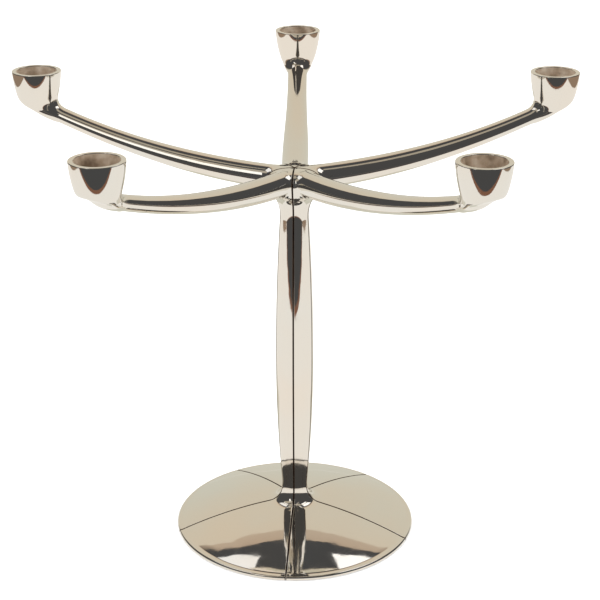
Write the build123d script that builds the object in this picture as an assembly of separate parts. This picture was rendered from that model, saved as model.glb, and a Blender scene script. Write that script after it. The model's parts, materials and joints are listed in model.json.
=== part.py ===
from build123d import *
import os
from math import asin, atan, cos, degrees, pi, radians, sin, sqrt

# Five-light candelabrum made of five equal castings that stand back to back around a tie rod.
# Millimetres. Origin: on the stem's axis, on the surface that the felt pad rests on. +Z is up,
# the rear arm points along +Y and the gap between the two front arms faces -Y.

# ---- driving dimensions -------------------------------------------------------------------------
BRANCHES = {                      # node name: direction of its arm, degrees from +X
    "branch_rear": 90,
    "branch_left": 162,
    "branch_front_left": 234,
    "branch_front_right": 306,
    "branch_right": 18,
}
sector_angle = 360 / len(BRANCHES)
joint_clocking = 3.5              # the joints lie this far clockwise of the mid-lines between arms
joint_gap = 0.45                  # between the faces of two neighbouring castings

# candle cup
cup_distance = 185.0              # from the stem's axis to the cup's axis
cup_rim_z = 313.7
cup_wall_depths = (0.0, 15.0, 34.0)   # depths below the rim where the curved wall is fixed
cup_wall_radii = (16.7, 14.53, 7.9)   # and its radii there
cup_bottom_z = 288.6              # on the cup's axis
cup_bottom_rise = 0.414           # the bottom slants up away from the stem, in line with the arm
cup_bottom_fillet = 2.4
mouth_radius = 13.5               # inside, at the rim
seat_radius = 11.25               # takes a 22 mm candle
seat_top_z = 303.0
seat_floor_z = 296.5
rim_round = 0.5

# arm: an oval bar along a circular arc that is level at the stem's axis
arm_low_z = 255.1
arm_arc_radius = 501.4
arm_root_half_width = 9.15
arm_tip_half_width = 7.1
arm_width_taper = (40.0, 155.0)   # the width shrinks between these distances from the stem's axis
arm_root_half_height = 8.1
arm_tip_half_height = 4.8
arm_height_taper = (0.0, 190.0)   # the height between these
arm_stations = (0, 25, 50, 75, 100, 125, 150, 176)  # where the ovals of the bar are drawn
arm_end_length = 10.0             # of the rounded end beyond the last oval, under the cup
corner_near = 7.0                 # the corner under the arm lies between these distances
corner_far = 12.0                 # from the stem's axis
corner_search = 2.0               # and no further than this below the arm's root
corner_min_length = 6.0
stem_fillet = 6.0                 # between the underside of the arm and the stem

# stem: a barrel shape from two arcs that are tangent where it is widest
stem_max_radius = 12.87
stem_max_z = 126.0
stem_upper_arc = 1700.0
stem_lower_arc = 1090.0
stem_top_z = 254.0
stem_foot_z = 33.5

# foot: a shallow dome with a thin rounded edge, hollow underneath
foot_radius = 83.6
flare_handles = (12.5, 5.6)       # how far the flare follows the stem and the dome
dome_start = (19.5, 17.7)         # where the stem's flare runs into the dome (radius, z)
dome_middle = (48.0, 12.9)
dome_end = (81.8, 2.9)
rim_middle_z = 1.2
rim_bottom_z = 0.3
rim_undercut = 0.7                # the edge's lowest point lies this far inside its widest
dome_thickness = 3.2
foot_core_radius = 24.0           # solid inside this
land_radius = 69.0                # the base plate seats outside this

# base plate, screws and felt pad
plate_radius = 74.0
plate_clearance = 0.3
plate_bottom_z = 1.0
plate_top_z = 3.0
plate_hole_radius = 10.0
plate_chamfer = 0.4
felt_radius = 73.0
screw_circle_radius = 48.0
screw_radius = 1.5
screw_head_radius = 3.0
screw_head_height = 1.6
screw_length = 8.0
screw_hole_spare = 1.0            # the hole is deeper than the screw by this
slot_length = 3.2                 # of the cross in the screw's head
slot_width = 0.7
slot_depth = 0.7
boss_radius = 5.0
thread_clearance = 0.05

# tie rod, nut, washer and the cap that clamps the castings at the top
rod_radius = 3.0
rod_bottom_z = 3.4
rod_top_z = 247.0
rod_bore_radius = 3.4
nut_across_flats = 10.0
nut_height = 5.0
washer_radius = 6.0
washer_bore_radius = 3.2
washer_height = 1.0
nut_pocket_radius = 8.5
nut_pocket_top_z = 10.0
cap_pocket_radius = 7.0
cap_pocket_bottom_z = 238.0
cap_pocket_top_z = 256.0
spigot_radius = 5.0
spigot_top_z = 243.0
cap_radius = 6.6
cap_top_z = 248.0
cap_skirt_radius = 5.1
cap_chamfer = 0.6
rod_chamfer = 0.5
cap_gap = 0.3                     # the cap clears the spigot's end and the pocket's floor by this

# locating dowels across the joints: (distance from the axis, z, radius, length)
STEM_DOWEL = (8.2, 126.0, 1.25, 6.0)
FOOT_DOWEL = (17.5, 9.5, 1.5, 8.0)
dowel_clearance = 0.05

# ---- shapes worked out from the dimensions -------------------------------------------------------


def arm_z(distance):
    """Height of the arm's centre line at a distance from the stem's axis."""
    return arm_low_z + arm_arc_radius - sqrt(arm_arc_radius**2 - distance**2)


def arm_plane(distance):
    """The plane square to the arm, with its x across the arm and its y upwards."""
    slope = asin(distance / arm_arc_radius)
    along = Vector(cos(slope), 0, sin(slope))
    return Plane(origin=(distance, 0, arm_z(distance)), x_dir=(0, 1, 0), z_dir=along)


def eased(distance, taper, root, tip):
    """A size that runs in a smooth S from its root value to its tip value over a taper."""
    start, end = taper
    share = min(max((distance - start) / (end - start), 0), 1)
    return root + (tip - root) * (1 - cos(pi * share)) / 2


def arm_half_sizes(distance):
    """Half width and half height of the oval at a distance from the stem's axis."""
    half_width = eased(distance, arm_width_taper, arm_root_half_width, arm_tip_half_width)
    half_height = eased(distance, arm_height_taper, arm_root_half_height, arm_tip_half_height)
    return half_width, half_height


def arm_bar():
    """The bar of the arm, from the stem's axis to below the cup, with a rounded end."""
    ovals = [arm_plane(station) * Ellipse(*arm_half_sizes(station)) for station in arm_stations]
    bar = loft(ovals)
    end = scale(Sphere(1), by=(*arm_half_sizes(arm_stations[-1]), arm_end_length))
    return bar + arm_plane(arm_stations[-1]) * end


def cup_outside():
    """The cup's outer shape: a curved wall round its own axis, cut off by the slanting bottom."""
    places = [(radius, cup_rim_z - depth) for radius, depth in zip(cup_wall_radii, cup_wall_depths)]
    wall = ThreePointArc(*places)
    lid = Polyline(places[2], (0, places[2][1]), (0, cup_rim_z), places[0])
    cup = revolve(Plane.XZ * make_face([wall, lid]), Axis.Z)
    tilt = -degrees(atan(cup_bottom_rise))
    wide = 4 * cup_wall_radii[0]
    below = Box(wide, wide, wide, align=(Align.CENTER, Align.CENTER, Align.MAX))
    cup -= Pos(0, 0, cup_bottom_z) * Rot(0, tilt, 0) * below
    bottom = cup.faces().filter_by(GeomType.PLANE).sort_by(Axis.Z)[0]
    return fillet(bottom.edges(), cup_bottom_fillet)


def cup_inside():
    """The hollow of the cup: a straight candle seat below a tapered mouth."""
    outline = Polyline(
        (0, seat_floor_z),
        (seat_radius, seat_floor_z),
        (seat_radius, seat_top_z),
        (mouth_radius, cup_rim_z),
        (mouth_radius, cup_rim_z + 1),
        (0, cup_rim_z + 1),
        close=True,
    )
    return revolve(Plane.XZ * make_face(outline), Axis.Z)


def stem_radius(z):
    """Radius of the stem at a height."""
    arc = stem_upper_arc if z > stem_max_z else stem_lower_arc
    return stem_max_radius - arc + sqrt(arc**2 - (z - stem_max_z) ** 2)


def stem_and_foot():
    """The whole round stem and foot, hollow under the dome, before it is parted into five."""
    top = (stem_radius(stem_top_z), stem_top_z)
    upper_middle_z = (stem_top_z + stem_max_z) / 2
    lower_middle_z = (stem_foot_z + stem_max_z) / 2
    widest = (stem_max_radius, stem_max_z)
    foot_of_stem = (stem_radius(stem_foot_z), stem_foot_z)
    upper = ThreePointArc(top, (stem_radius(upper_middle_z), upper_middle_z), widest)
    lower = ThreePointArc(widest, (stem_radius(lower_middle_z), lower_middle_z), foot_of_stem)
    dome = ThreePointArc(dome_start, dome_middle, dome_end)
    flare_top = (lower @ 1) + (lower % 1) * flare_handles[0]
    flare_end = (dome @ 0) - (dome % 0) * flare_handles[1]
    flare = Bezier(lower @ 1, flare_top, flare_end, dome @ 0)
    edge_bottom = (foot_radius - rim_undercut, rim_bottom_z)
    edge = ThreePointArc(dome_end, (foot_radius, rim_middle_z), edge_bottom)
    ceiling = ThreePointArc(
        (land_radius, dome_height(land_radius) - dome_thickness),
        (dome_middle[0], dome_middle[1] - dome_thickness),
        (foot_core_radius, dome_height(foot_core_radius) - dome_thickness),
    )
    recess_radius = plate_radius + plate_clearance
    under_rim = Polyline(
        edge @ 1,
        (recess_radius, rim_bottom_z),
        (recess_radius, plate_top_z),
        (land_radius, plate_top_z),
        ceiling @ 0,
    )
    under_core = Polyline(ceiling @ 1, (foot_core_radius, plate_top_z), (0, plate_top_z))
    axis_line = Polyline((0, plate_top_z), (0, stem_top_z), top)
    outline = make_face([upper, lower, flare, dome, edge, under_rim, ceiling, under_core, axis_line])
    return revolve(Plane.XZ * outline, Axis.Z)


def dome_height(radius):
    """Height of the dome's upper face at a radius, on the arc through its three points."""
    (x1, y1), (x2, y2), (x3, y3) = dome_start, dome_middle, dome_end
    d = 2 * (x1 * (y2 - y3) + x2 * (y3 - y1) + x3 * (y1 - y2))
    s1, s2, s3 = x1**2 + y1**2, x2**2 + y2**2, x3**2 + y3**2
    centre_x = (s1 * (y2 - y3) + s2 * (y3 - y1) + s3 * (y1 - y2)) / d
    centre_y = (s1 * (x3 - x2) + s2 * (x1 - x3) + s3 * (x2 - x1)) / d
    arc = sqrt((x1 - centre_x) ** 2 + (y1 - centre_y) ** 2)
    return centre_y + sqrt(arc**2 - (radius - centre_x) ** 2)


def ring_cut(inner, outer, low, high):
    """A ring, or a plain cylinder where the inner radius is 0, between two heights."""
    ring = Cylinder(outer, high - low, align=(Align.CENTER, Align.CENTER, Align.MIN))
    if inner:
        ring -= Cylinder(inner, high - low, align=(Align.CENTER, Align.CENTER, Align.MIN))
    return Pos(0, 0, low) * ring


def sector():
    """The space of one casting: a wedge whose faces stand half a joint gap off the joint planes."""
    reach = 2 * cup_distance
    apex = joint_gap / 2 / sin(radians(sector_angle / 2))
    half_angle = radians(sector_angle / 2)
    corners = Polyline(
        (apex, 0),
        (apex + reach * cos(half_angle), -reach * sin(half_angle)),
        (apex + reach * cos(half_angle), reach * sin(half_angle)),
        close=True,
    )
    return Rot(0, 0, -joint_clocking) * extrude(make_face(corners), amount=2 * cup_rim_z)


def dowel(place, extra=0.0):
    """One dowel across the joint that lies along +X."""
    distance, z, radius, length = place
    pin = Cylinder(radius + extra, length + 4 * extra)
    return Pos(distance, 0, z) * Rot(90, 0, 0) * pin


def joint_angles():
    """Directions of the five joints, from +X."""
    return [angle - joint_clocking + sector_angle / 2 for angle in BRANCHES.values()]


def plate_screw_place():
    """Where the screw of the casting whose arm points along +X stands."""
    return Rot(0, 0, -joint_clocking) * Pos(screw_circle_radius, 0, plate_bottom_z)


def branch():
    """One casting with its arm along +X: cup, arm, a fifth of the stem and a foot sector."""
    body = stem_and_foot() & sector()
    boss_height = dome_height(screw_circle_radius) - dome_thickness / 2 - plate_top_z
    boss = Cylinder(boss_radius, boss_height, align=(Align.CENTER, Align.CENTER, Align.MIN))
    body += Rot(0, 0, -joint_clocking) * Pos(screw_circle_radius, 0, plate_top_z) * boss
    body += arm_bar() & sector()
    body = blend_stem(body)
    body += Pos(cup_distance, 0, 0) * cup_outside()
    body -= Pos(cup_distance, 0, 0) * cup_inside()
    rim = body.faces().filter_by(GeomType.PLANE).sort_by(Axis.Z)[-1]
    body = fillet(rim.edges(), rim_round)
    body -= ring_cut(0, rod_bore_radius, 0, cap_pocket_top_z)
    body -= ring_cut(spigot_radius, cap_pocket_radius, cap_pocket_bottom_z, spigot_top_z)
    body -= ring_cut(0, cap_pocket_radius, spigot_top_z, cap_pocket_top_z)
    body -= ring_cut(0, nut_pocket_radius, 0, nut_pocket_top_z)
    hole_depth = screw_length + screw_hole_spare
    hole = Cylinder(
        screw_radius + thread_clearance, hole_depth, align=(Align.CENTER, Align.CENTER, Align.MIN)
    )
    body -= plate_screw_place() * hole
    for side in (-1, 1):
        turn = Rot(0, 0, -joint_clocking + side * sector_angle / 2)
        body -= turn * dowel(STEM_DOWEL, dowel_clearance)
        body -= turn * dowel(FOOT_DOWEL, dowel_clearance)
    return body


def blend_stem(body):
    """Round the inner corner between the stem and the underside of the arm."""
    low = arm_low_z - arm_root_half_height
    near = [
        edge
        for edge in body.edges()
        if low - corner_search < edge.center().Z < arm_low_z
        and corner_near < edge.center().X < corner_far
        and edge.length > corner_min_length
    ]
    return fillet(near, stem_fillet)


def clamp_cap():
    """The threaded cap whose skirt holds the split spigot of the five castings together."""
    floor_z = cap_pocket_bottom_z + cap_gap
    cap = ring_cut(rod_radius + thread_clearance, cap_radius, floor_z, cap_top_z)
    cap -= ring_cut(0, cap_skirt_radius, floor_z - 1, spigot_top_z + cap_gap)
    top_edge = cap.edges().filter_by(GeomType.CIRCLE).group_by(Axis.Z)[-1].sort_by(SortBy.RADIUS)[-1]
    return chamfer(top_edge, cap_chamfer)


def tie_rod():
    """The rod that pulls the cap down."""
    rod = ring_cut(0, rod_radius, rod_bottom_z, rod_top_z)
    return chamfer(rod.edges().filter_by(GeomType.CIRCLE), rod_chamfer)


def tie_nut():
    """The hexagon nut in the pocket above the base plate."""
    top_z = nut_pocket_top_z - washer_height
    hexagon = RegularPolygon(nut_across_flats / 2, 6, major_radius=False)
    nut = Pos(0, 0, top_z - nut_height) * extrude(hexagon, amount=nut_height)
    return nut - ring_cut(0, rod_radius + thread_clearance, 0, top_z + 1)


def tie_washer():
    """The washer between the nut and the castings."""
    low = nut_pocket_top_z - washer_height
    return ring_cut(washer_bore_radius, washer_radius, low, nut_pocket_top_z)


def base_plate():
    """The round plate in the recess under the foot, with five countersunk holes."""
    plate = ring_cut(plate_hole_radius, plate_radius, plate_bottom_z, plate_top_z)
    plate = chamfer(plate.edges().group_by(Axis.Z)[0].sort_by(SortBy.RADIUS)[-1], plate_chamfer)
    for angle in BRANCHES.values():
        plate -= Rot(0, 0, angle) * plate_screw_place() * screw_blank(thread_clearance)
    return plate


def screw_blank(extra=0.0):
    """A countersunk screw standing on its head, grown by a clearance for the hole it needs."""
    head = Cone(
        screw_head_radius + extra,
        screw_radius + extra,
        screw_head_height,
        align=(Align.CENTER, Align.CENTER, Align.MIN),
    )
    shank = Cylinder(
        screw_radius + extra, screw_length, align=(Align.CENTER, Align.CENTER, Align.MIN)
    )
    return head + shank


def plate_screw():
    """A countersunk screw with a cross slot."""
    across = Box(slot_length, slot_width, 2 * slot_depth)
    return screw_blank() - across - Rot(0, 0, 90) * across


def felt_pad():
    """The disc that the object stands on."""
    return ring_cut(0, felt_radius, 0, plate_bottom_z)


def main():
    os.makedirs("parts", exist_ok=True)
    casting = branch()
    for name, angle in BRANCHES.items():
        export_step(Rot(0, 0, angle) * casting, f"parts/{name}.step")
    screws = [Rot(0, 0, a) * plate_screw_place() * plate_screw() for a in BRANCHES.values()]
    stem_dowels = [Rot(0, 0, a) * dowel(STEM_DOWEL) for a in joint_angles()]
    foot_dowels = [Rot(0, 0, a) * dowel(FOOT_DOWEL) for a in joint_angles()]
    pieces = {
        "clamp_cap": clamp_cap(),
        "tie_rod": tie_rod(),
        "tie_nut": tie_nut(),
        "tie_washer": tie_washer(),
        "base_plate": base_plate(),
        "plate_screws": Compound(children=screws),
        "stem_dowels": Compound(children=stem_dowels),
        "foot_dowels": Compound(children=foot_dowels),
        "felt_pad": felt_pad(),
    }
    for name, shape in pieces.items():
        export_step(shape, f"parts/{name}.step")


main()
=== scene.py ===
import json
from math import asin, atan2, cos, hypot, pi, radians, sin

import bmesh
import bpy
import numpy as np
from mathutils import Euler, Matrix, Vector
from mathutils.geometry import tessellate_polygon


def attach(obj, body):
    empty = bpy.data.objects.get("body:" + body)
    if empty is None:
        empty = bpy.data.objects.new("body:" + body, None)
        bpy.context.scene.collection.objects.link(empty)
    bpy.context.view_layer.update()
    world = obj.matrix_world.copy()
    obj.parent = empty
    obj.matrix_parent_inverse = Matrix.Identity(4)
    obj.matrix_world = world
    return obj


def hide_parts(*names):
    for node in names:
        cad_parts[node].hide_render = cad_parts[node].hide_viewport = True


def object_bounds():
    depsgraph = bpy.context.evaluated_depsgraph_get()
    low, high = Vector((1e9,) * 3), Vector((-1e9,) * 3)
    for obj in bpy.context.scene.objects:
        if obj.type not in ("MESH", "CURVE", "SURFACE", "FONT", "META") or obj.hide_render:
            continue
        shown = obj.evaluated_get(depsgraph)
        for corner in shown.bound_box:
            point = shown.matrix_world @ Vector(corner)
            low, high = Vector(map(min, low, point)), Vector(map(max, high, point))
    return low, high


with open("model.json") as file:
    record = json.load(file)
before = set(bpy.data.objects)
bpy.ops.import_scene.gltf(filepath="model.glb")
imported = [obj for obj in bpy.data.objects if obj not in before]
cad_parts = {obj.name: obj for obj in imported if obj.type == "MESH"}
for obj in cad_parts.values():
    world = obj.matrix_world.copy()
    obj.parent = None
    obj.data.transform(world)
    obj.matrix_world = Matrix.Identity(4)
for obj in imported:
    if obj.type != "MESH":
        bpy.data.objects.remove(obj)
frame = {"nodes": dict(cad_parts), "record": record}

# The five castings of the candelabrum are rebuilt here as fine meshes whose corners are blended as
# on the real, hand-polished castings. Shape work is in millimetres, in the frame of one casting:
# its arm along +X, the stem's axis along Z. MM brings it to metres.
MM = 0.001

cad_low, cad_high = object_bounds()
mounts = {mount["name"]: mount for mount in frame["record"]["mounts"]}


def arm_direction(name):
    """Angle of a casting's arm from +X, from the place of its candle seat."""
    x, y, _ = mounts[f"candle_{name}"]["pos_m"]
    return atan2(y, x)


ARM_NAMES = ("rear", "left", "front_left", "front_right", "right")
SECTOR = 2 * pi / len(ARM_NAMES)

# ---- sizes of one casting, in millimetres --------------------------------------------------------
rim_z = cad_high.z / MM
cup_distance = hypot(*mounts["candle_rear"]["pos_m"][:2]) / MM
seat_radius = mounts["candle_rear"]["dims"]["r_mm"]
cup_rim_radius = 16.7
cup_wall_curve = (0.055, 0.0060)  # the radius shrinks by these times the depth and its square
cup_shoulder_z = 306.0            # the wall rounds in below this
cup_bottom_z = 288.6              # on the cup's axis
cup_bottom_rise = 0.414           # the bottom slants up away from the stem, in line with the arm
cup_roundness = 12.0              # the power in the curve of the corner round the bottom
mouth_radius = 13.5
seat_top_z = 303.0
seat_floor_z = 296.5
rim_round = 0.5

arm_low_z = 255.1
arc_radius = 501.4
arm_root_half_width, arm_tip_half_width = 9.15, 7.1
arm_width_taper = (40.0, 155.0)
arm_root_half_height, arm_tip_half_height = 8.1, 4.8
arm_height_taper = (0.0, 190.0)
arm_end = 176.0
arm_end_length = 10.0             # the arm rounds off over this, inside the cup
crotch_blend = 8.0                # between two arms
stem_blend = (17.5, 9.0)          # under the arms and over them
cup_blend = 7.0
hub_top_z = 263.25                # the top of the hub is filed flat
hub_flat_radius = 11.0
hub_top_blend = 0.5

stem_max_radius, stem_max_z = 12.87, 126.0
stem_upper_arc, stem_lower_arc = 1700.0, 1090.0
stem_foot_z = 33.5
flare_handles = (12.5, 5.6)       # lengths of the two handles of the flare's curve
dome_points = ((19.5, 17.7), (48.0, 12.9), (81.8, 2.9))
edge_points = ((81.8, 2.9), (83.6, 1.2), (82.9, 0.3))
edge_under_width = 0.5            # the edge levels out over this to the flat rim below it
rim_middle_radius = 78.0
dome_thickness = 3.2
recess_radius, land_radius, core_radius = 74.3, 69.0, 24.0
land_z = 3.0
nut_pocket = (8.5, 10.0)
bore_radius = 3.4
spigot = (5.0, 243.0)
cap_pocket = (7.0, 238.0, 256.0)

joint_clocking = radians(3.5)
joint_gap = 0.45
joint_round = 0.55                # how much the edges along the joints are rounded over

cell = 0.8                        # of the fine grid that the blended surface is read from
grid_margin = 2.4                 # the grid reaches this far past the casting
grid_half_width = 26.0
snap_share = 0.3                  # of a cell: vertices this close to a cut move onto it
hub_cut_z = 226.0                 # below this the stem is a plain surface of revolution
cup_cut_z = 307.0                 # above this the cup is a plain surface of revolution


# ---- the blended surface of hub, arm and cup -----------------------------------------------------
def smooth_min(a, b, k):
    """The smaller of two distances, with the corner between them rounded over the width k."""
    h = np.maximum(k - np.abs(a - b), 0) / k
    return np.minimum(a, b) - h * h * k / 4


def smooth_max(a, b, k):
    return -smooth_min(-a, -b, k)


def ease(distance, start_end, start_value, end_value):
    """A value that goes smoothly from one to another between two distances."""
    share = np.clip((distance - start_end[0]) / (start_end[1] - start_end[0]), 0, 1)
    return end_value + (start_value - end_value) * 0.5 * (1 + np.cos(pi * share))


def oval_distance(parts):
    """About the distance to an oval; parts are (coordinate, half size) pairs."""
    level = np.sqrt(sum((c / s) ** 2 for c, s in parts)) + 1e-9
    slope = np.sqrt(sum((c / s**2) ** 2 for c, s in parts)) + 1e-9
    return level * (level - 1) / slope


def arm_distance(x, y, z):
    """Distance to the oval bar of the arm that lies along +X."""
    below = arm_low_z + arc_radius - z
    reach = np.hypot(x, below)
    angle = np.arctan2(x, below)
    along = arc_radius * np.sin(angle)
    half_width = ease(along, arm_width_taper, arm_root_half_width, arm_tip_half_width)
    half_height = ease(along, arm_height_taper, arm_root_half_height, arm_tip_half_height)
    past_end = np.maximum(arc_radius * (angle - asin(arm_end / arc_radius)), 0)
    before_start = np.maximum(-x, 0)
    return oval_distance(
        [
            (y, half_width),
            (arc_radius - reach, half_height),
            (past_end, arm_end_length),
            (before_start, arm_root_half_width),
        ]
    )


def turned(x, y, angle):
    """The coordinates seen from a frame turned by an angle about the stem's axis."""
    return x * cos(angle) + y * sin(angle), -x * sin(angle) + y * cos(angle)


def stem_radius(z):
    arc = np.where(z > stem_max_z, stem_upper_arc, stem_lower_arc)
    return stem_max_radius - arc + np.sqrt(arc**2 - (z - stem_max_z) ** 2)


def cup_wall(z):
    """Radius of the cup's wall at a height, and how fast it grows upwards."""
    depth = np.clip(rim_z - z, 0, rim_z - cup_bottom_z)
    radius = cup_rim_radius - cup_wall_curve[0] * depth - cup_wall_curve[1] * depth**2
    return radius, cup_wall_curve[0] + 2 * cup_wall_curve[1] * depth


def cup_distance_to(x, y, z):
    """About the distance to the cup: a tapered wall that rounds in to a slanted bottom."""
    power = cup_roundness
    radius = np.hypot(x - cup_distance, y)
    wall, growth = cup_wall(z)
    slant = np.clip(x - cup_distance, -2 * cup_rim_radius, 2 * cup_rim_radius)
    depth = cup_shoulder_z - cup_bottom_z - cup_bottom_rise * slant
    across = radius / wall
    down = np.maximum(cup_shoulder_z - z, 0) / depth
    level = (across**power + down**power) ** (1 / power) + 1e-6
    across_share = (across / level) ** (power - 1) / wall
    down_share = (down / level) ** (power - 1) / depth + across_share * across * growth
    near = (level - 1) / np.hypot(across_share, down_share * hypot(1, cup_bottom_rise))
    return np.maximum(near, radius - cup_rim_radius)


def blended(points):
    """Distance to the blended body of hub, arm and cup, near its surface."""
    x, y, z = points[..., 0], points[..., 1], points[..., 2]
    radius = np.hypot(x, y)
    blend = np.minimum(crotch_blend, 0.5 * radius) + 1e-6
    arms = arm_distance(x, y, z)
    for turn in (SECTOR, -SECTOR):
        arms = smooth_min(arms, arm_distance(*turned(x, y, turn), z), blend)
    stem = np.maximum(radius - stem_radius(z), z - arm_low_z)
    under_arms = np.clip((arm_low_z - z) / arm_root_half_height, 0, 1)
    body = smooth_min(arms, stem, stem_blend[1] + (stem_blend[0] - stem_blend[1]) * under_arms)
    above_flat = z - hub_top_z - np.maximum(radius - hub_flat_radius, 0)
    body = smooth_max(body, above_flat, hub_top_blend)
    return smooth_min(body, cup_distance_to(x, y, z), cup_blend)


def slope_of(points):
    """The gradient of the blended distance."""
    step = 0.02
    slope = np.empty_like(points)
    for axis in range(3):
        shift = np.zeros(3)
        shift[axis] = step
        slope[:, axis] = (blended(points + shift) - blended(points - shift)) / (2 * step)
    return slope


def onto_surface(points, times=3):
    """Moves points straight onto the blended surface."""
    for _ in range(times):
        slope = slope_of(points)
        size = np.maximum((slope**2).sum(1), 1e-6)
        points = points - (blended(points) / size)[:, None] * slope
    return points


def unit(vectors):
    return vectors / np.maximum(np.linalg.norm(vectors, axis=-1, keepdims=True), 1e-12)


def net_of_surface():
    """Quads over the blended surface, from one vertex in each grid cell that it passes through."""
    low = np.array([-grid_margin, -grid_half_width, hub_cut_z - 2])
    high = np.array([cup_distance + cup_rim_radius + grid_margin, grid_half_width, cup_cut_z + 2])
    counts = np.ceil((high - low) / cell).astype(int) + 1
    axes = [low[i] + cell * np.arange(counts[i]) for i in range(3)]
    grid = np.stack(np.meshgrid(*axes, indexing="ij"), -1)
    field = blended(grid)
    total = np.zeros(tuple(counts - 1) + (3,))
    crossings = np.zeros(tuple(counts - 1))
    corners = [(i, j, k) for i in (0, 1) for j in (0, 1) for k in (0, 1)]
    nx, ny, nz = counts - 1
    for a in corners:
        for axis in range(3):
            if a[axis]:
                continue
            b = tuple(a[i] + (i == axis) for i in range(3))
            fa = field[a[0]:a[0] + nx, a[1]:a[1] + ny, a[2]:a[2] + nz]
            fb = field[b[0]:b[0] + nx, b[1]:b[1] + ny, b[2]:b[2] + nz]
            crossed = (fa < 0) != (fb < 0)
            share = np.where(crossed, fa / np.where(crossed, fa - fb, 1), 0)
            place = np.array(a, float) * np.ones(share.shape + (3,))
            place[..., axis] += share
            total += place * crossed[..., None]
            crossings += crossed
    cells = np.argwhere(crossings > 0)
    number = -np.ones(tuple(counts - 1), int)
    number[tuple(cells.T)] = np.arange(len(cells))
    inside_cell = total[tuple(cells.T)] / crossings[tuple(cells.T)][:, None]
    vertices = low + cell * (cells + inside_cell)
    quads = []
    for axis in range(3):
        u, v = (axis + 1) % 3, (axis + 2) % 3
        first = [slice(None)] * 3
        second = [slice(None)] * 3
        first[axis], second[axis] = slice(0, -1), slice(1, None)
        fa, fb = field[tuple(first)], field[tuple(second)]
        for edge in np.argwhere((fa < 0) != (fb < 0)):
            if edge[u] == 0 or edge[v] == 0 or edge[u] >= counts[u] - 1 or edge[v] >= counts[v] - 1:
                continue
            ring = []
            for du, dv in ((0, 0), (-1, 0), (-1, -1), (0, -1)):
                place = edge.copy()
                place[u] += du
                place[v] += dv
                ring.append(number[tuple(place)])
            if field[tuple(edge)] < 0:
                ring.reverse()
            quads.append(ring[::-1])
    return vertices, np.array(quads)


def relaxed_net(rounds=4):
    """The net with its vertices evened out along the surface."""
    vertices, quads = net_of_surface()
    edges = np.concatenate([quads[:, [i, (i + 1) % 4]] for i in range(4)])
    vertices = onto_surface(vertices)
    for _ in range(rounds):
        total = np.zeros_like(vertices)
        count = np.zeros(len(vertices))
        for one, other in ((0, 1), (1, 0)):
            np.add.at(total, edges[:, one], vertices[edges[:, other]])
            np.add.at(count, edges[:, one], 1)
        vertices = onto_surface(0.4 * vertices + 0.6 * total / count[:, None], 2)
    return vertices, quads


# ---- the skin of one casting ---------------------------------------------------------------------
POLISHED, LINING, HIDDEN, TARNISHED = 0, 1, 2, 3
COLUMNS = 28                      # of faces across a fifth of the stem and foot
CUP_COLUMNS = 96                  # of faces round a cup
APEX_STEPS = 8                    # round the end of a casting at the stem's axis
EDGE_ROWS = 4                     # of faces over the rounding along a joint
CLEAN_ROWS = 1                    # of them that the polishing cloth reaches
JOINT_MIDDLE = -joint_clocking
JOINT_SIDES = (JOINT_MIDDLE + SECTOR / 2, JOINT_MIDDLE - SECTOR / 2)
JOINT_OUT = [
    np.array([-sin(JOINT_SIDES[0]), cos(JOINT_SIDES[0]), 0]),
    np.array([sin(JOINT_SIDES[1]), -cos(JOINT_SIDES[1]), 0]),
]


class Skin:
    """Vertices with their outward normals, and faces with the number of their finish."""

    def __init__(self):
        self.points, self.normals, self.faces, self.finishes = [], [], [], []

    def add(self, points, normals):
        first = len(self.points)
        self.points.extend(np.asarray(points, float))
        self.normals.extend(np.broadcast_to(normals, np.shape(points)))
        return list(range(first, len(self.points)))

    def face(self, corners, finish):
        self.faces.append(tuple(corners))
        self.finishes.append(finish)

    def grid(self, rows, finish):
        """Faces between each row of vertices and the next."""
        for one, other in zip(rows, rows[1:]):
            for i in range(len(one) - 1):
                self.face((one[i], one[i + 1], other[i + 1], other[i]), finish)

    def zipper(self, one, one_keys, other, other_keys, finish):
        """Triangles between two rows whose vertices don't pair up, in the order of their keys."""
        i = j = 0
        while i < len(one) - 1 or j < len(other) - 1:
            take_one = j == len(other) - 1 or (
                i < len(one) - 1 and one_keys[i + 1] <= other_keys[j + 1]
            )
            if take_one:
                self.face((one[i], one[i + 1], other[j]), finish)
                i += 1
            else:
                self.face((one[i], other[j + 1], other[j]), finish)
                j += 1

    def flat(self, corners, normal, across, finish):
        """A flat face of any outline; across holds the two directions that it is laid out on."""
        along, up = across
        outline = [Vector((float(np.dot(p, along)), float(np.dot(p, up)), 0)) for p in corners]
        numbers = self.add(corners, normal)
        for triangle in tessellate_polygon([outline]):
            self.face([numbers[i] for i in triangle], finish)

    def mesh(self, name, angle):
        """A mesh in metres, turned about the stem's axis, with its normals as they were given."""
        points, normals = np.array(self.points), np.array(self.normals)
        _, first, number = np.unique(
            np.round(points, 3), axis=0, return_index=True, return_inverse=True
        )
        number = number.reshape(-1)
        faces, corner_normals, finishes = [], [], []
        for face, finish in zip(self.faces, self.finishes):
            kept = [c for i, c in enumerate(face) if number[c] != number[face[i - 1]]]
            if len(kept) < 3 or len({int(number[c]) for c in kept}) < len(kept):
                continue
            corners = points[kept]
            following = np.roll(corners, -1, axis=0)
            if np.cross(corners, following).sum(0) @ normals[kept].sum(0) < 0:
                kept.reverse()
            faces.append([int(number[c]) for c in kept])
            corner_normals.extend(kept)
            finishes.append(finish)
        turn = np.array(Matrix.Rotation(angle, 3, "Z"))
        data = bpy.data.meshes.new(name)
        data.from_pydata((points[first] @ turn.T * MM).tolist(), [], faces)
        data.polygons.foreach_set("material_index", finishes)
        data.polygons.foreach_set("use_smooth", [True] * len(faces))
        data.normals_split_custom_set((unit(normals[corner_normals]) @ turn.T).tolist())
        return data


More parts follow.
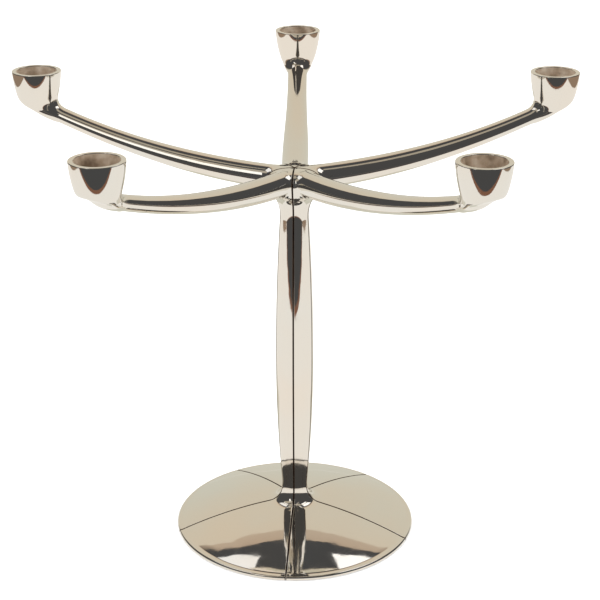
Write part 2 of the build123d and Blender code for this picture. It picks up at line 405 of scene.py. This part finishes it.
def cut_net():
    """The blended net, cut off along both joints, below the hub and below the cup's rim."""
    vertices, quads = relaxed_net()
    setback = joint_gap / 2 + joint_round
    planes = [(out * setback * -1, out) for out in JOINT_OUT]
    planes.append((np.array([0, 0, hub_cut_z]), np.array([0, 0, -1.0])))
    planes.append((np.array([0, 0, cup_cut_z]), np.array([0, 0, 1.0])))
    on_arm_side = vertices[:, 0] > -0.5
    for place, out in planes:
        offset = (vertices - place) @ out
        close = (np.abs(offset) < snap_share * cell) & on_arm_side
        moved = vertices[close] - offset[close, None] * out
        for _ in range(3):
            moved = onto_surface(moved, 1)
            moved = moved - ((moved - place) @ out)[:, None] * out
        vertices[close] = moved
    net = bmesh.new()
    made = [net.verts.new(v) for v in vertices]
    for quad in quads:
        net.faces.new([made[i] for i in quad])
    for place, out in planes:
        geometry = net.verts[:] + net.edges[:] + net.faces[:]
        bmesh.ops.bisect_plane(
            net, geom=geometry, dist=1e-4, plane_co=place, plane_no=out, clear_outer=True
        )
    loose = [v for v in net.verts if not v.link_faces]
    bmesh.ops.delete(net, geom=loose, context="VERTS")
    net.verts.index_update()
    points = np.array([v.co[:] for v in net.verts], float)
    on_plane = [np.abs((points - place) @ out) < 1e-3 for place, out in planes]
    on_edge = np.any(on_plane, axis=0)
    for _ in range(4):
        points[on_edge] = onto_surface(points[on_edge], 1)
        for (place, out), held in zip(planes, on_plane):
            points[held] -= ((points[held] - place) @ out)[:, None] * out
    faces = [[v.index for v in f.verts] for f in net.faces]
    rim = {}
    for edge in net.edges:
        if len(edge.link_faces) == 1:
            a, b = (v.index for v in edge.verts)
            rim.setdefault(a, []).append(b)
            rim.setdefault(b, []).append(a)
    net.free()
    return points, faces, on_plane, rim


def walk(rim, start, allowed):
    """Follows the open edge from one vertex along those that are allowed, to the last of them."""
    trail = [start]
    while True:
        onward = [n for n in rim[trail[-1]] if n not in trail[-2:] and allowed[n]]
        onward = [n for n in onward if n != trail[0]]
        if not onward:
            return trail
        trail.append(onward[0])


def side_angle(radius, setback):
    """Half the angle that a casting fills at a radius, with its side set back from the joint."""
    return SECTOR / 2 - asin(min(setback / radius, 1.0))


def ring(radius, z, slope, setback, columns=COLUMNS):
    """One row of points across the casting, and the normals of a surface with that (r, z) slope."""
    half = side_angle(radius, setback)
    angles = JOINT_MIDDLE + np.linspace(half, -half, columns + 1)
    points = np.stack([radius * np.cos(angles), radius * np.sin(angles), np.full_like(angles, z)], 1)
    normals = np.stack(
        [slope[0] * np.cos(angles), slope[0] * np.sin(angles), np.full_like(angles, slope[1])], 1
    )
    return points, normals


def three_point_arc(points, count):
    """Points and directions along the arc through three points, ends included."""
    (x1, y1), (x2, y2), (x3, y3) = points
    d = 2 * (x1 * (y2 - y3) + x2 * (y3 - y1) + x3 * (y1 - y2))
    s1, s2, s3 = x1**2 + y1**2, x2**2 + y2**2, x3**2 + y3**2
    centre = np.array(
        [
            (s1 * (y2 - y3) + s2 * (y3 - y1) + s3 * (y1 - y2)) / d,
            (s1 * (x3 - x2) + s2 * (x1 - x3) + s3 * (x2 - x1)) / d,
        ]
    )
    start, _, end = (np.array(p) - centre for p in points)
    first = atan2(start[1], start[0])
    sweep = (atan2(end[1], end[0]) - first + pi) % (2 * pi) - pi
    spin = 1 if sweep > 0 else -1
    radius = hypot(*start)
    angles = first + np.linspace(0, sweep, count)
    places = centre + radius * np.stack([np.cos(angles), np.sin(angles)], 1)
    directions = spin * np.stack([-np.sin(angles), np.cos(angles)], 1)
    return places, directions


def outer_outline():
    """Points (r, z), outward slopes and joint roundings, from below the hub to the recess."""
    heights = np.concatenate(
        [np.linspace(hub_cut_z - 1, stem_max_z, 20), np.linspace(stem_max_z, stem_foot_z, 17)[1:]]
    )
    arcs = np.where(heights > stem_max_z, stem_upper_arc, stem_lower_arc)
    rise = heights - stem_max_z
    stem = np.stack([stem_radius(heights), heights], 1)
    stem_way = unit(np.stack([rise / np.sqrt(arcs**2 - rise**2), -np.ones_like(rise)], 1))
    dome, dome_way = three_point_arc(dome_points, 26)
    flare, flare_way = flare_curve(stem[-1], stem_way[-1], dome[0], dome_way[0])
    edge, edge_way = three_point_arc(edge_points, 10)
    edge_radius, edge_z = edge[-1]
    under_radii = (edge_radius - edge_under_width, rim_middle_radius, recess_radius)
    under = np.array([(radius, edge_z) for radius in under_radii])
    under_way = np.array([(-1.0, 0.0)] * 3)
    edge_way[0] = unit(edge_way[0] + dome_way[-1])
    points = np.concatenate([stem, flare[1:-1], dome[:-1], edge, under])
    ways = np.concatenate([stem_way, unit(flare_way[1:-1]), dome_way[:-1], edge_way, under_way])
    slopes = np.stack([-ways[:, 1], ways[:, 0]], 1)
    roundings = np.full(len(points), joint_round)
    roundings[-1] = 0
    return points, slopes, roundings


def flare_curve(start, start_way, end, end_way):
    """Points and directions along the curve by which the stem flares into the dome."""
    first, second = start + flare_handles[0] * start_way, end - flare_handles[1] * end_way
    t = np.linspace(0, 1, 26)[:, None]
    s = 1 - t
    places = s**3 * start + 3 * s**2 * t * first + 3 * s * t**2 * second + t**3 * end
    ways = s**2 * (first - start) + 2 * s * t * (second - first) + t**2 * (end - second)
    return places, ways


def inner_outline():
    """The corners (r, z) of the hollow parts, from the recess in the foot up to the cap's pocket."""
    ceiling_radii = np.linspace(land_radius, core_radius, 12)
    ceiling_points = [(r, dome_height(r) - dome_thickness) for r in ceiling_radii]
    return [
        (recess_radius, edge_points[2][1]),
        (recess_radius, land_z),
        (land_radius, land_z),
        *ceiling_points,
        (core_radius, land_z),
        (nut_pocket[0], land_z),
        nut_pocket,
        (bore_radius, nut_pocket[1]),
        (bore_radius, spigot[1]),
        spigot,
        (spigot[0], cap_pocket[1]),
        (cap_pocket[0], cap_pocket[1]),
        (cap_pocket[0], cap_pocket[2]),
    ]


def dome_height(radius):
    """Height of the dome's upper face at a radius."""
    places, _ = three_point_arc(dome_points, 60)
    return float(np.interp(radius, places[:, 0], places[:, 1]))


def cup_outline():
    """Parts of the cup above the blended surface: lists of (r, z, slope) rows, and their finish."""
    corner_z = rim_z - rim_round
    mouth_slope = (mouth_radius - seat_radius) / (rim_z - seat_top_z)
    inside = unit(np.array([-1, mouth_slope]))
    rows = []
    for z in np.linspace(cup_cut_z + 1, corner_z, 8):
        radius, growth = cup_wall(z)
        rows.append((radius, z, unit(np.array([1, -growth]))))
    outer_centre, inner_centre = rows[-1][0] - rim_round, mouth_radius + rim_round
    outer_turns, inner_turns = np.linspace(0, pi / 2, 7)[1:], np.linspace(pi / 2, pi, 7)
    for centre, turns in ((outer_centre, outer_turns), (inner_centre, inner_turns)):
        for turn in turns:
            slope = np.array([cos(turn), sin(turn)])
            rows.append((centre + rim_round * slope[0], corner_z + rim_round * slope[1], slope))
    mouth = [(mouth_radius, corner_z, inside)]
    for z in np.linspace(corner_z, seat_top_z, 8)[1:]:
        mouth.append((seat_radius + mouth_slope * (z - seat_top_z), z, inside))
    seat = [(seat_radius, z, np.array([-1.0, 0])) for z in np.linspace(seat_top_z, seat_floor_z, 6)]
    floor = [(r, seat_floor_z, np.array([0, 1.0])) for r in (seat_radius, 6.0, 2.0)]
    return [(rows, POLISHED), (mouth, LINING), (seat, LINING), (floor, LINING)]


def joint_edge(skin, columns):
    """Rounds the edge along the joints; columns are (point, normal, way out, rounding) entries."""
    strips = []
    for point, normal, out, rounding in columns:
        flat_normal = unit(normal - (normal @ out) * out)
        turns = np.linspace(0, pi / 2, EDGE_ROWS + 1)[:, None]
        points = point + rounding * (np.sin(turns) * out - (1 - np.cos(turns)) * flat_normal)
        normals = unit(np.cos(turns) * normal + np.sin(turns) * out)
        strips.append(skin.add(points, normals))
    skin.grid([strip[:CLEAN_ROWS + 1] for strip in strips], POLISHED)
    skin.grid([strip[CLEAN_ROWS:] for strip in strips], TARNISHED)
    return [skin.points[strip[-1]] for strip in strips]


def casting_skin():
    """The whole closed skin of one casting."""
    skin = Skin()
    points, faces, on_plane, rim = cut_net()
    normals = unit(slope_of(points))
    numbers = skin.add(points, normals)
    for face in faces:
        skin.face([numbers[i] for i in face], POLISHED)

    # the joint edge of the net: up one side of the hub to the stem's axis, and down the other side
    hub_ring = np.flatnonzero(on_plane[2])
    corner_a = next(i for i in hub_ring if on_plane[0][i])
    joint_path = walk(rim, corner_a, on_plane[0] | on_plane[1])
    apex = next(i for i in joint_path if on_plane[0][i] and on_plane[1][i])
    hub_row = sorted(hub_ring, key=lambda i: -atan2(points[i][1], points[i][0]))

    # stem, foot and rim, joined on below the hub
    outline, slopes, roundings = outer_outline()
    rows = []
    for (radius, z), slope, rounding in zip(outline, slopes, roundings):
        rows.append(skin.add(*ring(radius, z, slope, joint_gap / 2 + rounding)))
    skin.grid(rows, POLISHED)
    hub_keys = [-atan2(points[i][1], points[i][0]) for i in hub_row]
    row_keys = [-atan2(skin.points[i][1], skin.points[i][0]) for i in rows[0]]
    skin.zipper([numbers[i] for i in hub_row], hub_keys, rows[0], row_keys, POLISHED)

    # the rounded edge along both joints
    out_a, out_b = JOINT_OUT
    columns = []
    for row, rounding in zip(reversed(rows), reversed(roundings)):
        columns.append((skin.points[row[0]], skin.normals[row[0]], out_a, rounding))
    place = joint_path.index(apex)
    for i in joint_path[:place]:
        columns.append((points[i], normals[i], out_a, joint_round))
    side_a_count = len(columns)
    apex_turns = np.linspace(pi / 2, 2 * pi - pi / 2 - SECTOR, APEX_STEPS + 1)
    for turn in apex_turns + SECTOR / 2 + JOINT_MIDDLE:
        out = np.array([cos(turn), sin(turn), 0])
        columns.append((points[apex], normals[apex], out, joint_round))
    side_b_start = len(columns)
    for i in joint_path[place + 1:]:
        columns.append((points[i], normals[i], out_b, joint_round))
    for row, rounding in zip(rows, roundings):
        columns.append((skin.points[row[-1]], skin.normals[row[-1]], out_b, rounding))
    edge_line = joint_edge(skin, columns)

    # hollow parts, turned about the axis
    inner = inner_outline()
    for (r1, z1), (r2, z2) in zip(inner, inner[1:]):
        slope = unit(np.array([-(z2 - z1), r2 - r1]))
        pair = [skin.add(*ring(r, z, slope, joint_gap / 2)) for r, z in ((r1, z1), (r2, z2))]
        skin.grid(pair, HIDDEN)

    # the solid corner above the cap's pocket, next to the axis
    top_z = cap_pocket[2]
    corner = edge_line[side_a_count:side_b_start]
    upper, lower = [], []
    for place, column in zip(corner, columns[side_a_count:side_b_start]):
        upper += skin.add([place], column[2])
        lower += skin.add([(place[0], place[1], top_z)], column[2])
    skin.grid([upper, lower], HIDDEN)
    pocket_edge, _ = ring(cap_pocket[0], top_z, (0, -1), joint_gap / 2)
    ceiling = list(pocket_edge) + [np.array([p[0], p[1], top_z]) for p in reversed(corner)]
    skin.flat(ceiling, (0, 0, -1), ((1, 0, 0), (0, 1, 0)), HIDDEN)

    # the flat faces in the joints
    for side, out in enumerate(JOINT_OUT):
        if side == 0:
            edge, near = edge_line[:side_a_count + 1], corner[0]
        else:
            edge, near = edge_line[:side_b_start - 2:-1], corner[-1]
        column = 0 if side == 0 else -1
        inner_corners = [ring(r, z, (0, 1), joint_gap / 2)[0][column] for r, z in reversed(inner)]
        face = list(edge) + [np.array([near[0], near[1], top_z])] + inner_corners[:-1]
        along = np.array([cos(JOINT_SIDES[side]), sin(JOINT_SIDES[side]), 0])
        skin.flat(face, out, (along, (0, 0, 1)), HIDDEN)

    cup_skin(skin, points, numbers, np.flatnonzero(on_plane[3]))
    return skin


def cup_skin(skin, points, numbers, cut_ring):
    """The cup's wall above the blended surface, its rim and its hollow."""
    angles = np.linspace(0, 2 * pi, CUP_COLUMNS + 1)
    x, y = np.cos(angles), np.sin(angles)
    for part, (rows, finish) in enumerate(cup_outline()):
        made = []
        for radius, z, slope in rows:
            places = np.stack([cup_distance + radius * x, radius * y, np.full_like(x, z)], 1)
            normals = np.stack([slope[0] * x, slope[0] * y, np.full_like(x, slope[1])], 1)
            made.append(skin.add(places, normals))
        skin.grid(made, finish)
        if part == 0:
            first_row = made[0]
    centre = skin.add([(cup_distance, 0, seat_floor_z)], (0, 0, 1))[0]
    for i in range(CUP_COLUMNS):
        skin.face((made[-1][i], made[-1][i + 1], centre), LINING)

    def key(i):
        return atan2(points[i][1], points[i][0] - cup_distance) % (2 * pi)

    around = sorted(cut_ring, key=key)
    keys = [key(i) for i in around]
    around.append(around[0])
    keys.append(keys[0] + 2 * pi)
    skin.zipper([numbers[i] for i in around], keys, first_row, list(angles), POLISHED)


# ---- the five castings ---------------------------------------------------------------------------
skin = casting_skin()
castings = []
for name in ARM_NAMES:
    casting = bpy.data.objects.new(f"casting_{name}", skin.mesh(f"casting_{name}", arm_direction(name)))
    bpy.context.scene.collection.objects.link(casting)
    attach(casting, "root")
    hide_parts(f"branch_{name}")
    castings.append(casting)


# ---- finishes ------------------------------------------------------------------------------------
def finish_named(name):
    """A new material with its shader and the list its nodes are made in."""
    material = bpy.data.materials.new(name)
    material.use_nodes = True
    nodes, links = material.node_tree.nodes, material.node_tree.links
    return material, nodes, links, nodes["Principled BSDF"]


def textured(nodes, links, scale, detail, kind="ShaderNodeTexNoise", stretch=(1, 1, 1)):
    """A texture in the piece's own coordinates, in metres; stretch squeezes it along an axis."""
    place = nodes.new("ShaderNodeTexCoord")
    mapping = nodes.new("ShaderNodeMapping")
    mapping.inputs["Scale"].default_value = stretch
    texture = nodes.new(kind)
    texture.inputs["Scale"].default_value = scale
    texture.inputs["Detail"].default_value = detail
    links.new(place.outputs["Object"], mapping.inputs["Vector"])
    links.new(mapping.outputs["Vector"], texture.inputs["Vector"])
    return texture


def ranged(nodes, links, source, low, high):
    """The source's 0.3 to 0.7 brought to a new range."""
    remap = nodes.new("ShaderNodeMapRange")
    remap.inputs["From Min"].default_value = 0.3
    remap.inputs["From Max"].default_value = 0.7
    remap.inputs["To Min"].default_value = low
    remap.inputs["To Max"].default_value = high
    links.new(source.outputs[0], remap.inputs["Value"])
    return remap.outputs[0]


def tinted(nodes, links, source, stops):
    """A colour from the source through a ramp of (position, colour)."""
    ramp = nodes.new("ShaderNodeValToRGB")
    elements = ramp.color_ramp.elements
    for place, (position, color) in enumerate(stops):
        element = elements[place] if place < 2 else elements.new(position)
        element.position, element.color = position, (*color, 1)
    links.new(source.outputs[0], ramp.inputs[0])
    return ramp.outputs["Color"]


def bumped(nodes, links, shader, source, distance, strength, under=None):
    """A bump from the source, on top of the bump under it if there is one."""
    bump = nodes.new("ShaderNodeBump")
    bump.inputs["Distance"].default_value = distance
    bump.inputs["Strength"].default_value = strength
    links.new(source.outputs[0], bump.inputs["Height"])
    if under:
        links.new(under.outputs["Normal"], bump.inputs["Normal"])
    links.new(bump.outputs["Normal"], shader.inputs["Normal"])
    return bump


def metal(name, stops, roughness, grain_scale, grain_depth, stretch=(1, 1, 1), metallic=1.0):
    """A metal whose colour, gloss and surface all vary a little with a fine grain."""
    material, nodes, links, shader = finish_named(name)
    shader.inputs["Metallic"].default_value = metallic
    patches = textured(nodes, links, 60, 4)
    grain = textured(nodes, links, grain_scale, 5, stretch=stretch)
    links.new(tinted(nodes, links, patches, stops), shader.inputs["Base Color"])
    links.new(ranged(nodes, links, grain, *roughness), shader.inputs["Roughness"])
    bumped(nodes, links, shader, grain, grain_depth, 0.6)
    return material


def polished_silver():
    """Hand-polished plate: faint waves from the polishing, wiping marks and a warm cast."""
    material, nodes, links, shader = finish_named("polished_silver_plate")
    shader.inputs["Metallic"].default_value = 1.0
    patches = textured(nodes, links, 14, 3)
    stops = ((0.35, (0.88, 0.81, 0.725)), (0.65, (0.85, 0.825, 0.77)))
    links.new(tinted(nodes, links, patches, stops), shader.inputs["Base Color"])
    wiping = textured(nodes, links, 160, 6)
    links.new(ranged(nodes, links, wiping, 0.025, 0.075), shader.inputs["Roughness"])
    waves = textured(nodes, links, 55, 1)
    soft = bumped(nodes, links, shader, waves, 0.00024, 0.55)
    ripple = textured(nodes, links, 300, 2)
    bumped(nodes, links, shader, ripple, 0.000012, 0.5, soft)
    return material


def cup_lining():
    """Satin, wax-stained plate inside the cups."""
    material, nodes, links, shader = finish_named("satin_cup_lining")
    shader.inputs["Metallic"].default_value = 0.45
    patches = textured(nodes, links, 110, 5)
    stops = ((0.3, (0.20, 0.14, 0.09)), (0.5, (0.47, 0.36, 0.26)), (0.7, (0.70, 0.60, 0.48)))
    links.new(tinted(nodes, links, patches, stops), shader.inputs["Base Color"])
    scrapes = textured(nodes, links, 500, 4, stretch=(1, 1, 0.15))
    links.new(ranged(nodes, links, scrapes, 0.3, 0.5), shader.inputs["Roughness"])
    bumped(nodes, links, shader, scrapes, 0.0002, 0.5)
    return material


finishes = [
    polished_silver(),
    cup_lining(),
    metal("machined_joint_face", ((0.3, (0.03, 0.02, 0.015)), (0.7, (0.09, 0.065, 0.045))),
          (0.55, 0.8), 900, 0.00005, (1, 1, 0.1), 0.6),
    metal("tarnish_in_joints", ((0.3, (0.07, 0.035, 0.02)), (0.7, (0.16, 0.10, 0.06))),
          (0.3, 0.55), 700, 0.00005, metallic=0.8),
]
for casting in castings:
    for material in finishes:
        casting.data.materials.append(material)


def baize():
    """Green wool baize with short fibres."""
    material, nodes, links, shader = finish_named("green_baize")
    shader.inputs["Roughness"].default_value = 0.95
    shader.inputs["Sheen Weight"].default_value = 0.6
    fibres = textured(nodes, links, 1400, 8)
    stops = ((0.3, (0.012, 0.05, 0.028)), (0.7, (0.03, 0.12, 0.06)))
    links.new(tinted(nodes, links, fibres, stops), shader.inputs["Base Color"])
    bumped(nodes, links, shader, fibres, 0.0003, 0.8)
    return material


def black_paint():
    """Brushed black paint with rubbed, greyer patches."""
    material, nodes, links, shader = finish_named("black_painted_steel")
    patches = textured(nodes, links, 90, 6)
    stops = ((0.4, (0.012, 0.012, 0.012)), (0.75, (0.05, 0.048, 0.045)))
    links.new(tinted(nodes, links, patches, stops), shader.inputs["Base Color"])
    strokes = textured(nodes, links, 400, 4, stretch=(1, 0.1, 1))
    links.new(ranged(nodes, links, strokes, 0.35, 0.6), shader.inputs["Roughness"])
    bumped(nodes, links, shader, strokes, 0.00004, 0.6)
    return material


zinc = metal("zinc_plated_steel", ((0.3, (0.50, 0.50, 0.49)), (0.7, (0.66, 0.66, 0.63))),
             (0.2, 0.4), 700, 0.00003)
turned_steel = metal("ground_dowel_steel", ((0.3, (0.55, 0.54, 0.53)), (0.7, (0.64, 0.63, 0.61))),
                     (0.12, 0.3), 1200, 0.00002, (0.2, 1, 1))
rod_steel = metal("drawn_rod_steel", ((0.3, (0.36, 0.35, 0.34)), (0.7, (0.50, 0.49, 0.47))),
                  (0.25, 0.45), 900, 0.00003, (1, 1, 0.05))
brass = metal("turned_brass", ((0.3, (0.60, 0.42, 0.18)), (0.7, (0.74, 0.56, 0.27))),
              (0.18, 0.38), 1000, 0.00003, (1, 1, 8))
hidden_finishes = {
    "base_plate": black_paint(),
    "felt_pad": baize(),
    "plate_screws": zinc,
    "tie_nut": zinc,
    "tie_washer": zinc,
    "tie_rod": rod_steel,
    "stem_dowels": turned_steel,
    "foot_dowels": turned_steel,
    "clamp_cap": brass,
}
for node_name, material in hidden_finishes.items():
    for material_slot in frame["nodes"][node_name].material_slots:
        material_slot.material = material


# ---- floor, light and camera ---------------------------------------------------------------------
# The room in the order it is met from the stem, in metres: the paper that the candelabrum stands on,
# the bare floor round it, the backdrop with a darker top, and the panels that light it.
backdrop_y = 1.3
paper_size, paper_middle_y = (1.7, 1.75), 0.425
beige = (0.66, 0.65, 0.565)
fade_floor, fade_half = 0.07, 0.4  # how bright a fading sheet is at its sides, and half-way there
fade_half_share = 0.55             # of the margin, for half-way


def stage_plane(name, size, place):
    """A level rectangle of the studio."""
    half_x, half_y = size[0] / 2, size[1] / 2
    corners = [(-half_x, -half_y), (half_x, -half_y), (half_x, half_y), (-half_x, half_y)]
    return stage_sheet(name, corners, place)


def stage_sheet(name, corners, place, turn=(0, 0, 0)):
    """A flat sheet of the studio with any outline."""
    data = bpy.data.meshes.new(name)
    data.from_pydata([(x, y, 0) for x, y in corners], [], [tuple(range(len(corners)))])
    plane = bpy.data.objects.new(name, data)
    plane.location = place
    plane.rotation_euler = turn
    bpy.context.scene.collection.objects.link(plane)
    return plane


def glowing(name, color, strength=1.0):
    """A plain glowing surface, for the studio that the silver mirrors."""
    material = bpy.data.materials.new(name)
    material.use_nodes = True
    nodes, links = material.node_tree.nodes, material.node_tree.links
    nodes.remove(nodes["Principled BSDF"])
    glow = nodes.new("ShaderNodeEmission")
    glow.inputs["Color"].default_value = (*color, 1)
    glow.inputs["Strength"].default_value = strength
    links.new(glow.outputs[0], nodes["Material Output"].inputs[0])
    return material


def fading(name, low_color, high_color, solid_share):
    """A glowing surface that changes colour upwards and fades out towards both sides."""
    material = glowing(name, low_color)
    nodes, links = material.node_tree.nodes, material.node_tree.links
    glow = nodes["Emission"]
    place = nodes.new("ShaderNodeTexCoord")
    parts = nodes.new("ShaderNodeSeparateXYZ")
    links.new(place.outputs["Generated"], parts.inputs[0])
    upwards = nodes.new("ShaderNodeMix")
    upwards.data_type = "RGBA"
    upwards.inputs["A"].default_value = (*low_color, 1)
    upwards.inputs["B"].default_value = (*high_color, 1)
    links.new(parts.outputs["Y"], upwards.inputs["Factor"])
    links.new(upwards.outputs["Result"], glow.inputs["Color"])
    fade = nodes.new("ShaderNodeValToRGB")
    margin = (1 - solid_share) / 2
    stops = fade.color_ramp.elements
    stops[0].position, stops[0].color = 0, (fade_floor, fade_floor, fade_floor, 1)
    stops[1].position, stops[1].color = 1, (fade_floor, fade_floor, fade_floor, 1)
    half_way = margin * fade_half_share
    levels = ((half_way, fade_half), (margin, 1), (1 - margin, 1), (1 - half_way, fade_half))
    for position, level in levels:
        stops.new(position).color = (level, level, level, 1)
    links.new(parts.outputs["X"], fade.inputs[0])
    links.new(fade.outputs["Color"], glow.inputs["Strength"])
    return material


def panel(name, azimuth, elevation, size, color, distance, roll=0.0):
    """A glowing panel of the studio, seen in the silver only; it faces the candelabrum."""
    a, e = radians(azimuth), radians(elevation)
    way = Vector((sin(a) * cos(e), cos(a) * cos(e), sin(e)))
    plane = stage_plane(name, size, way * distance)
    facing = way.to_track_quat("Z", "Y").to_matrix() @ Matrix.Rotation(radians(roll), 3, "Z")
    plane.rotation_euler = facing.to_euler()
    only_mirrored(plane, glowing(name, color))


def mirrored(points):
    """The other half of a symmetrical outline."""
    return [(-x, y) for x, y in reversed(points)]


def only_mirrored(plane, material):
    """Gives a sheet of the studio its glow, which only the silver shows."""
    plane.data.materials.append(material)
    plane.visible_camera = False
    plane.visible_diffuse = False
    plane.visible_shadow = False


def glowing_floor(name, size, x, y, color, lift=0.0):
    """A level glowing rectangle at the height of the floor."""
    only_mirrored(stage_plane(name, size, (x, y, cad_low.z + lift)), glowing(name, color))


floor = stage_plane("floor", (8, 8), (0, 0, cad_low.z))
material, _, _, shader = finish_named("white_floor")
shader.inputs["Base Color"].default_value = (0.9, 0.9, 0.9, 1)
shader.inputs["Roughness"].default_value = 1.0
floor.data.materials.append(material)
floor.visible_glossy = False

glowing_floor("paper_sheet", paper_size, 0, paper_middle_y, (0.91, 0.89, 0.85))
# painted shade: a dimmer beige glowing patch on the paper just behind the foot stands in for the shade
# that the candelabrum casts there; only the silver shows it
glowing_floor("paper_painted_shade", (0.36, 0.8), 0, 0.49, beige, lift=0.0002)
glowing_floor("paper_edge", (paper_size[0], 0.05), 0, -0.475, (0.22, 0.11, 0.07))
glowing_floor("front_floor", (3.0, 0.8), 0, -1.7, (0.14, 0.13, 0.115))
for side in (-1, 1):
    glowing_floor("side_floor", (0.3, paper_size[1]), side, paper_middle_y, (0.30, 0.22, 0.16))
backdrop_top = [(1.5, 0.85), (1.12, 1.1), (1.0, 1.35), (0.88, 1.58), (0.7, 1.68), (0.35, 1.7)]
corners = [(-1.5, 0), (1.5, 0)] + backdrop_top + mirrored(backdrop_top)
backdrop = stage_sheet("backdrop", corners, (0, backdrop_y, 0), (radians(90), 0, 0))
only_mirrored(backdrop, fading("backdrop", beige, (0.70, 0.62, 0.50), 0.68))
valance_low = backdrop_top[:0:-1]
valance_top = [(1.06, 1.5), (0.92, 1.85), (0.7, 2.0), (0.35, 2.05)]
corners = mirrored(valance_low) + valance_low + valance_top + mirrored(valance_top)
valance = stage_sheet("valance", corners, (0, backdrop_y, 0), (radians(90), 0, 0))
only_mirrored(valance, fading("valance", (0.60, 0.51, 0.41), (0.52, 0.41, 0.31), 0.8))
panel("softbox_left", -56, 62.5, (0.70, 0.46), (1, 1, 1), 1.6, 20)
panel("softbox_right", 58, 62, (0.78, 0.48), (1.3, 1.3, 1.3), 1.6, -20)
panel("softbox_front_left", -141, 48, (0.26, 0.70), (1.25, 1.25, 1.22), 1.8)
panel("ceiling", 0, 88, (0.9, 0.5), (0.42, 0.38, 0.31), 1.8)
panel("grey_wall_left", -120, 62, (1.6, 0.7), (0.46, 0.42, 0.35), 2.4)

# the silver mirrors a dark room, and everything else is lit by a white one
world = bpy.data.worlds.new("studio")
bpy.context.scene.world = world
world.use_nodes = True
nodes, links = world.node_tree.nodes, world.node_tree.links
room = nodes["Background"]
room.inputs[0].default_value = (0.068, 0.069, 0.071, 1)
plain = nodes.new("ShaderNodeBackground")
plain.inputs[0].default_value = (1.8, 1.8, 1.8, 1)
path = nodes.new("ShaderNodeLightPath")
mix = nodes.new("ShaderNodeMixShader")
links.new(path.outputs["Is Glossy Ray"], mix.inputs[0])
links.new(plain.outputs[0], mix.inputs[1])
links.new(room.outputs[0], mix.inputs[2])
links.new(mix.outputs[0], nodes["World Output"].inputs[0])

# the camera that was fitted to the photo: its place is in lengths of the arms, before it is swung
reach = cup_distance * MM
camera_place = Vector((0.016 * reach, -5.5535 * reach, 3.1444 * reach))
camera_swing, camera_pitch, camera_yaw = radians(0.65), radians(90 - 21.87), radians(0.61)
camera_data = bpy.data.cameras.new("camera")
camera_data.sensor_width = 36
camera_data.lens = 97.92
camera_data.clip_start = 0.01
camera = bpy.data.objects.new("camera", camera_data)
bpy.context.scene.collection.objects.link(camera)
camera.location = Matrix.Rotation(camera_swing, 4, "Z") @ camera_place
camera.rotation_euler = Euler((camera_pitch, 0, camera_yaw), "XYZ")
bpy.context.scene.camera = camera
bpy.context.scene.view_settings.view_transform = "Standard"
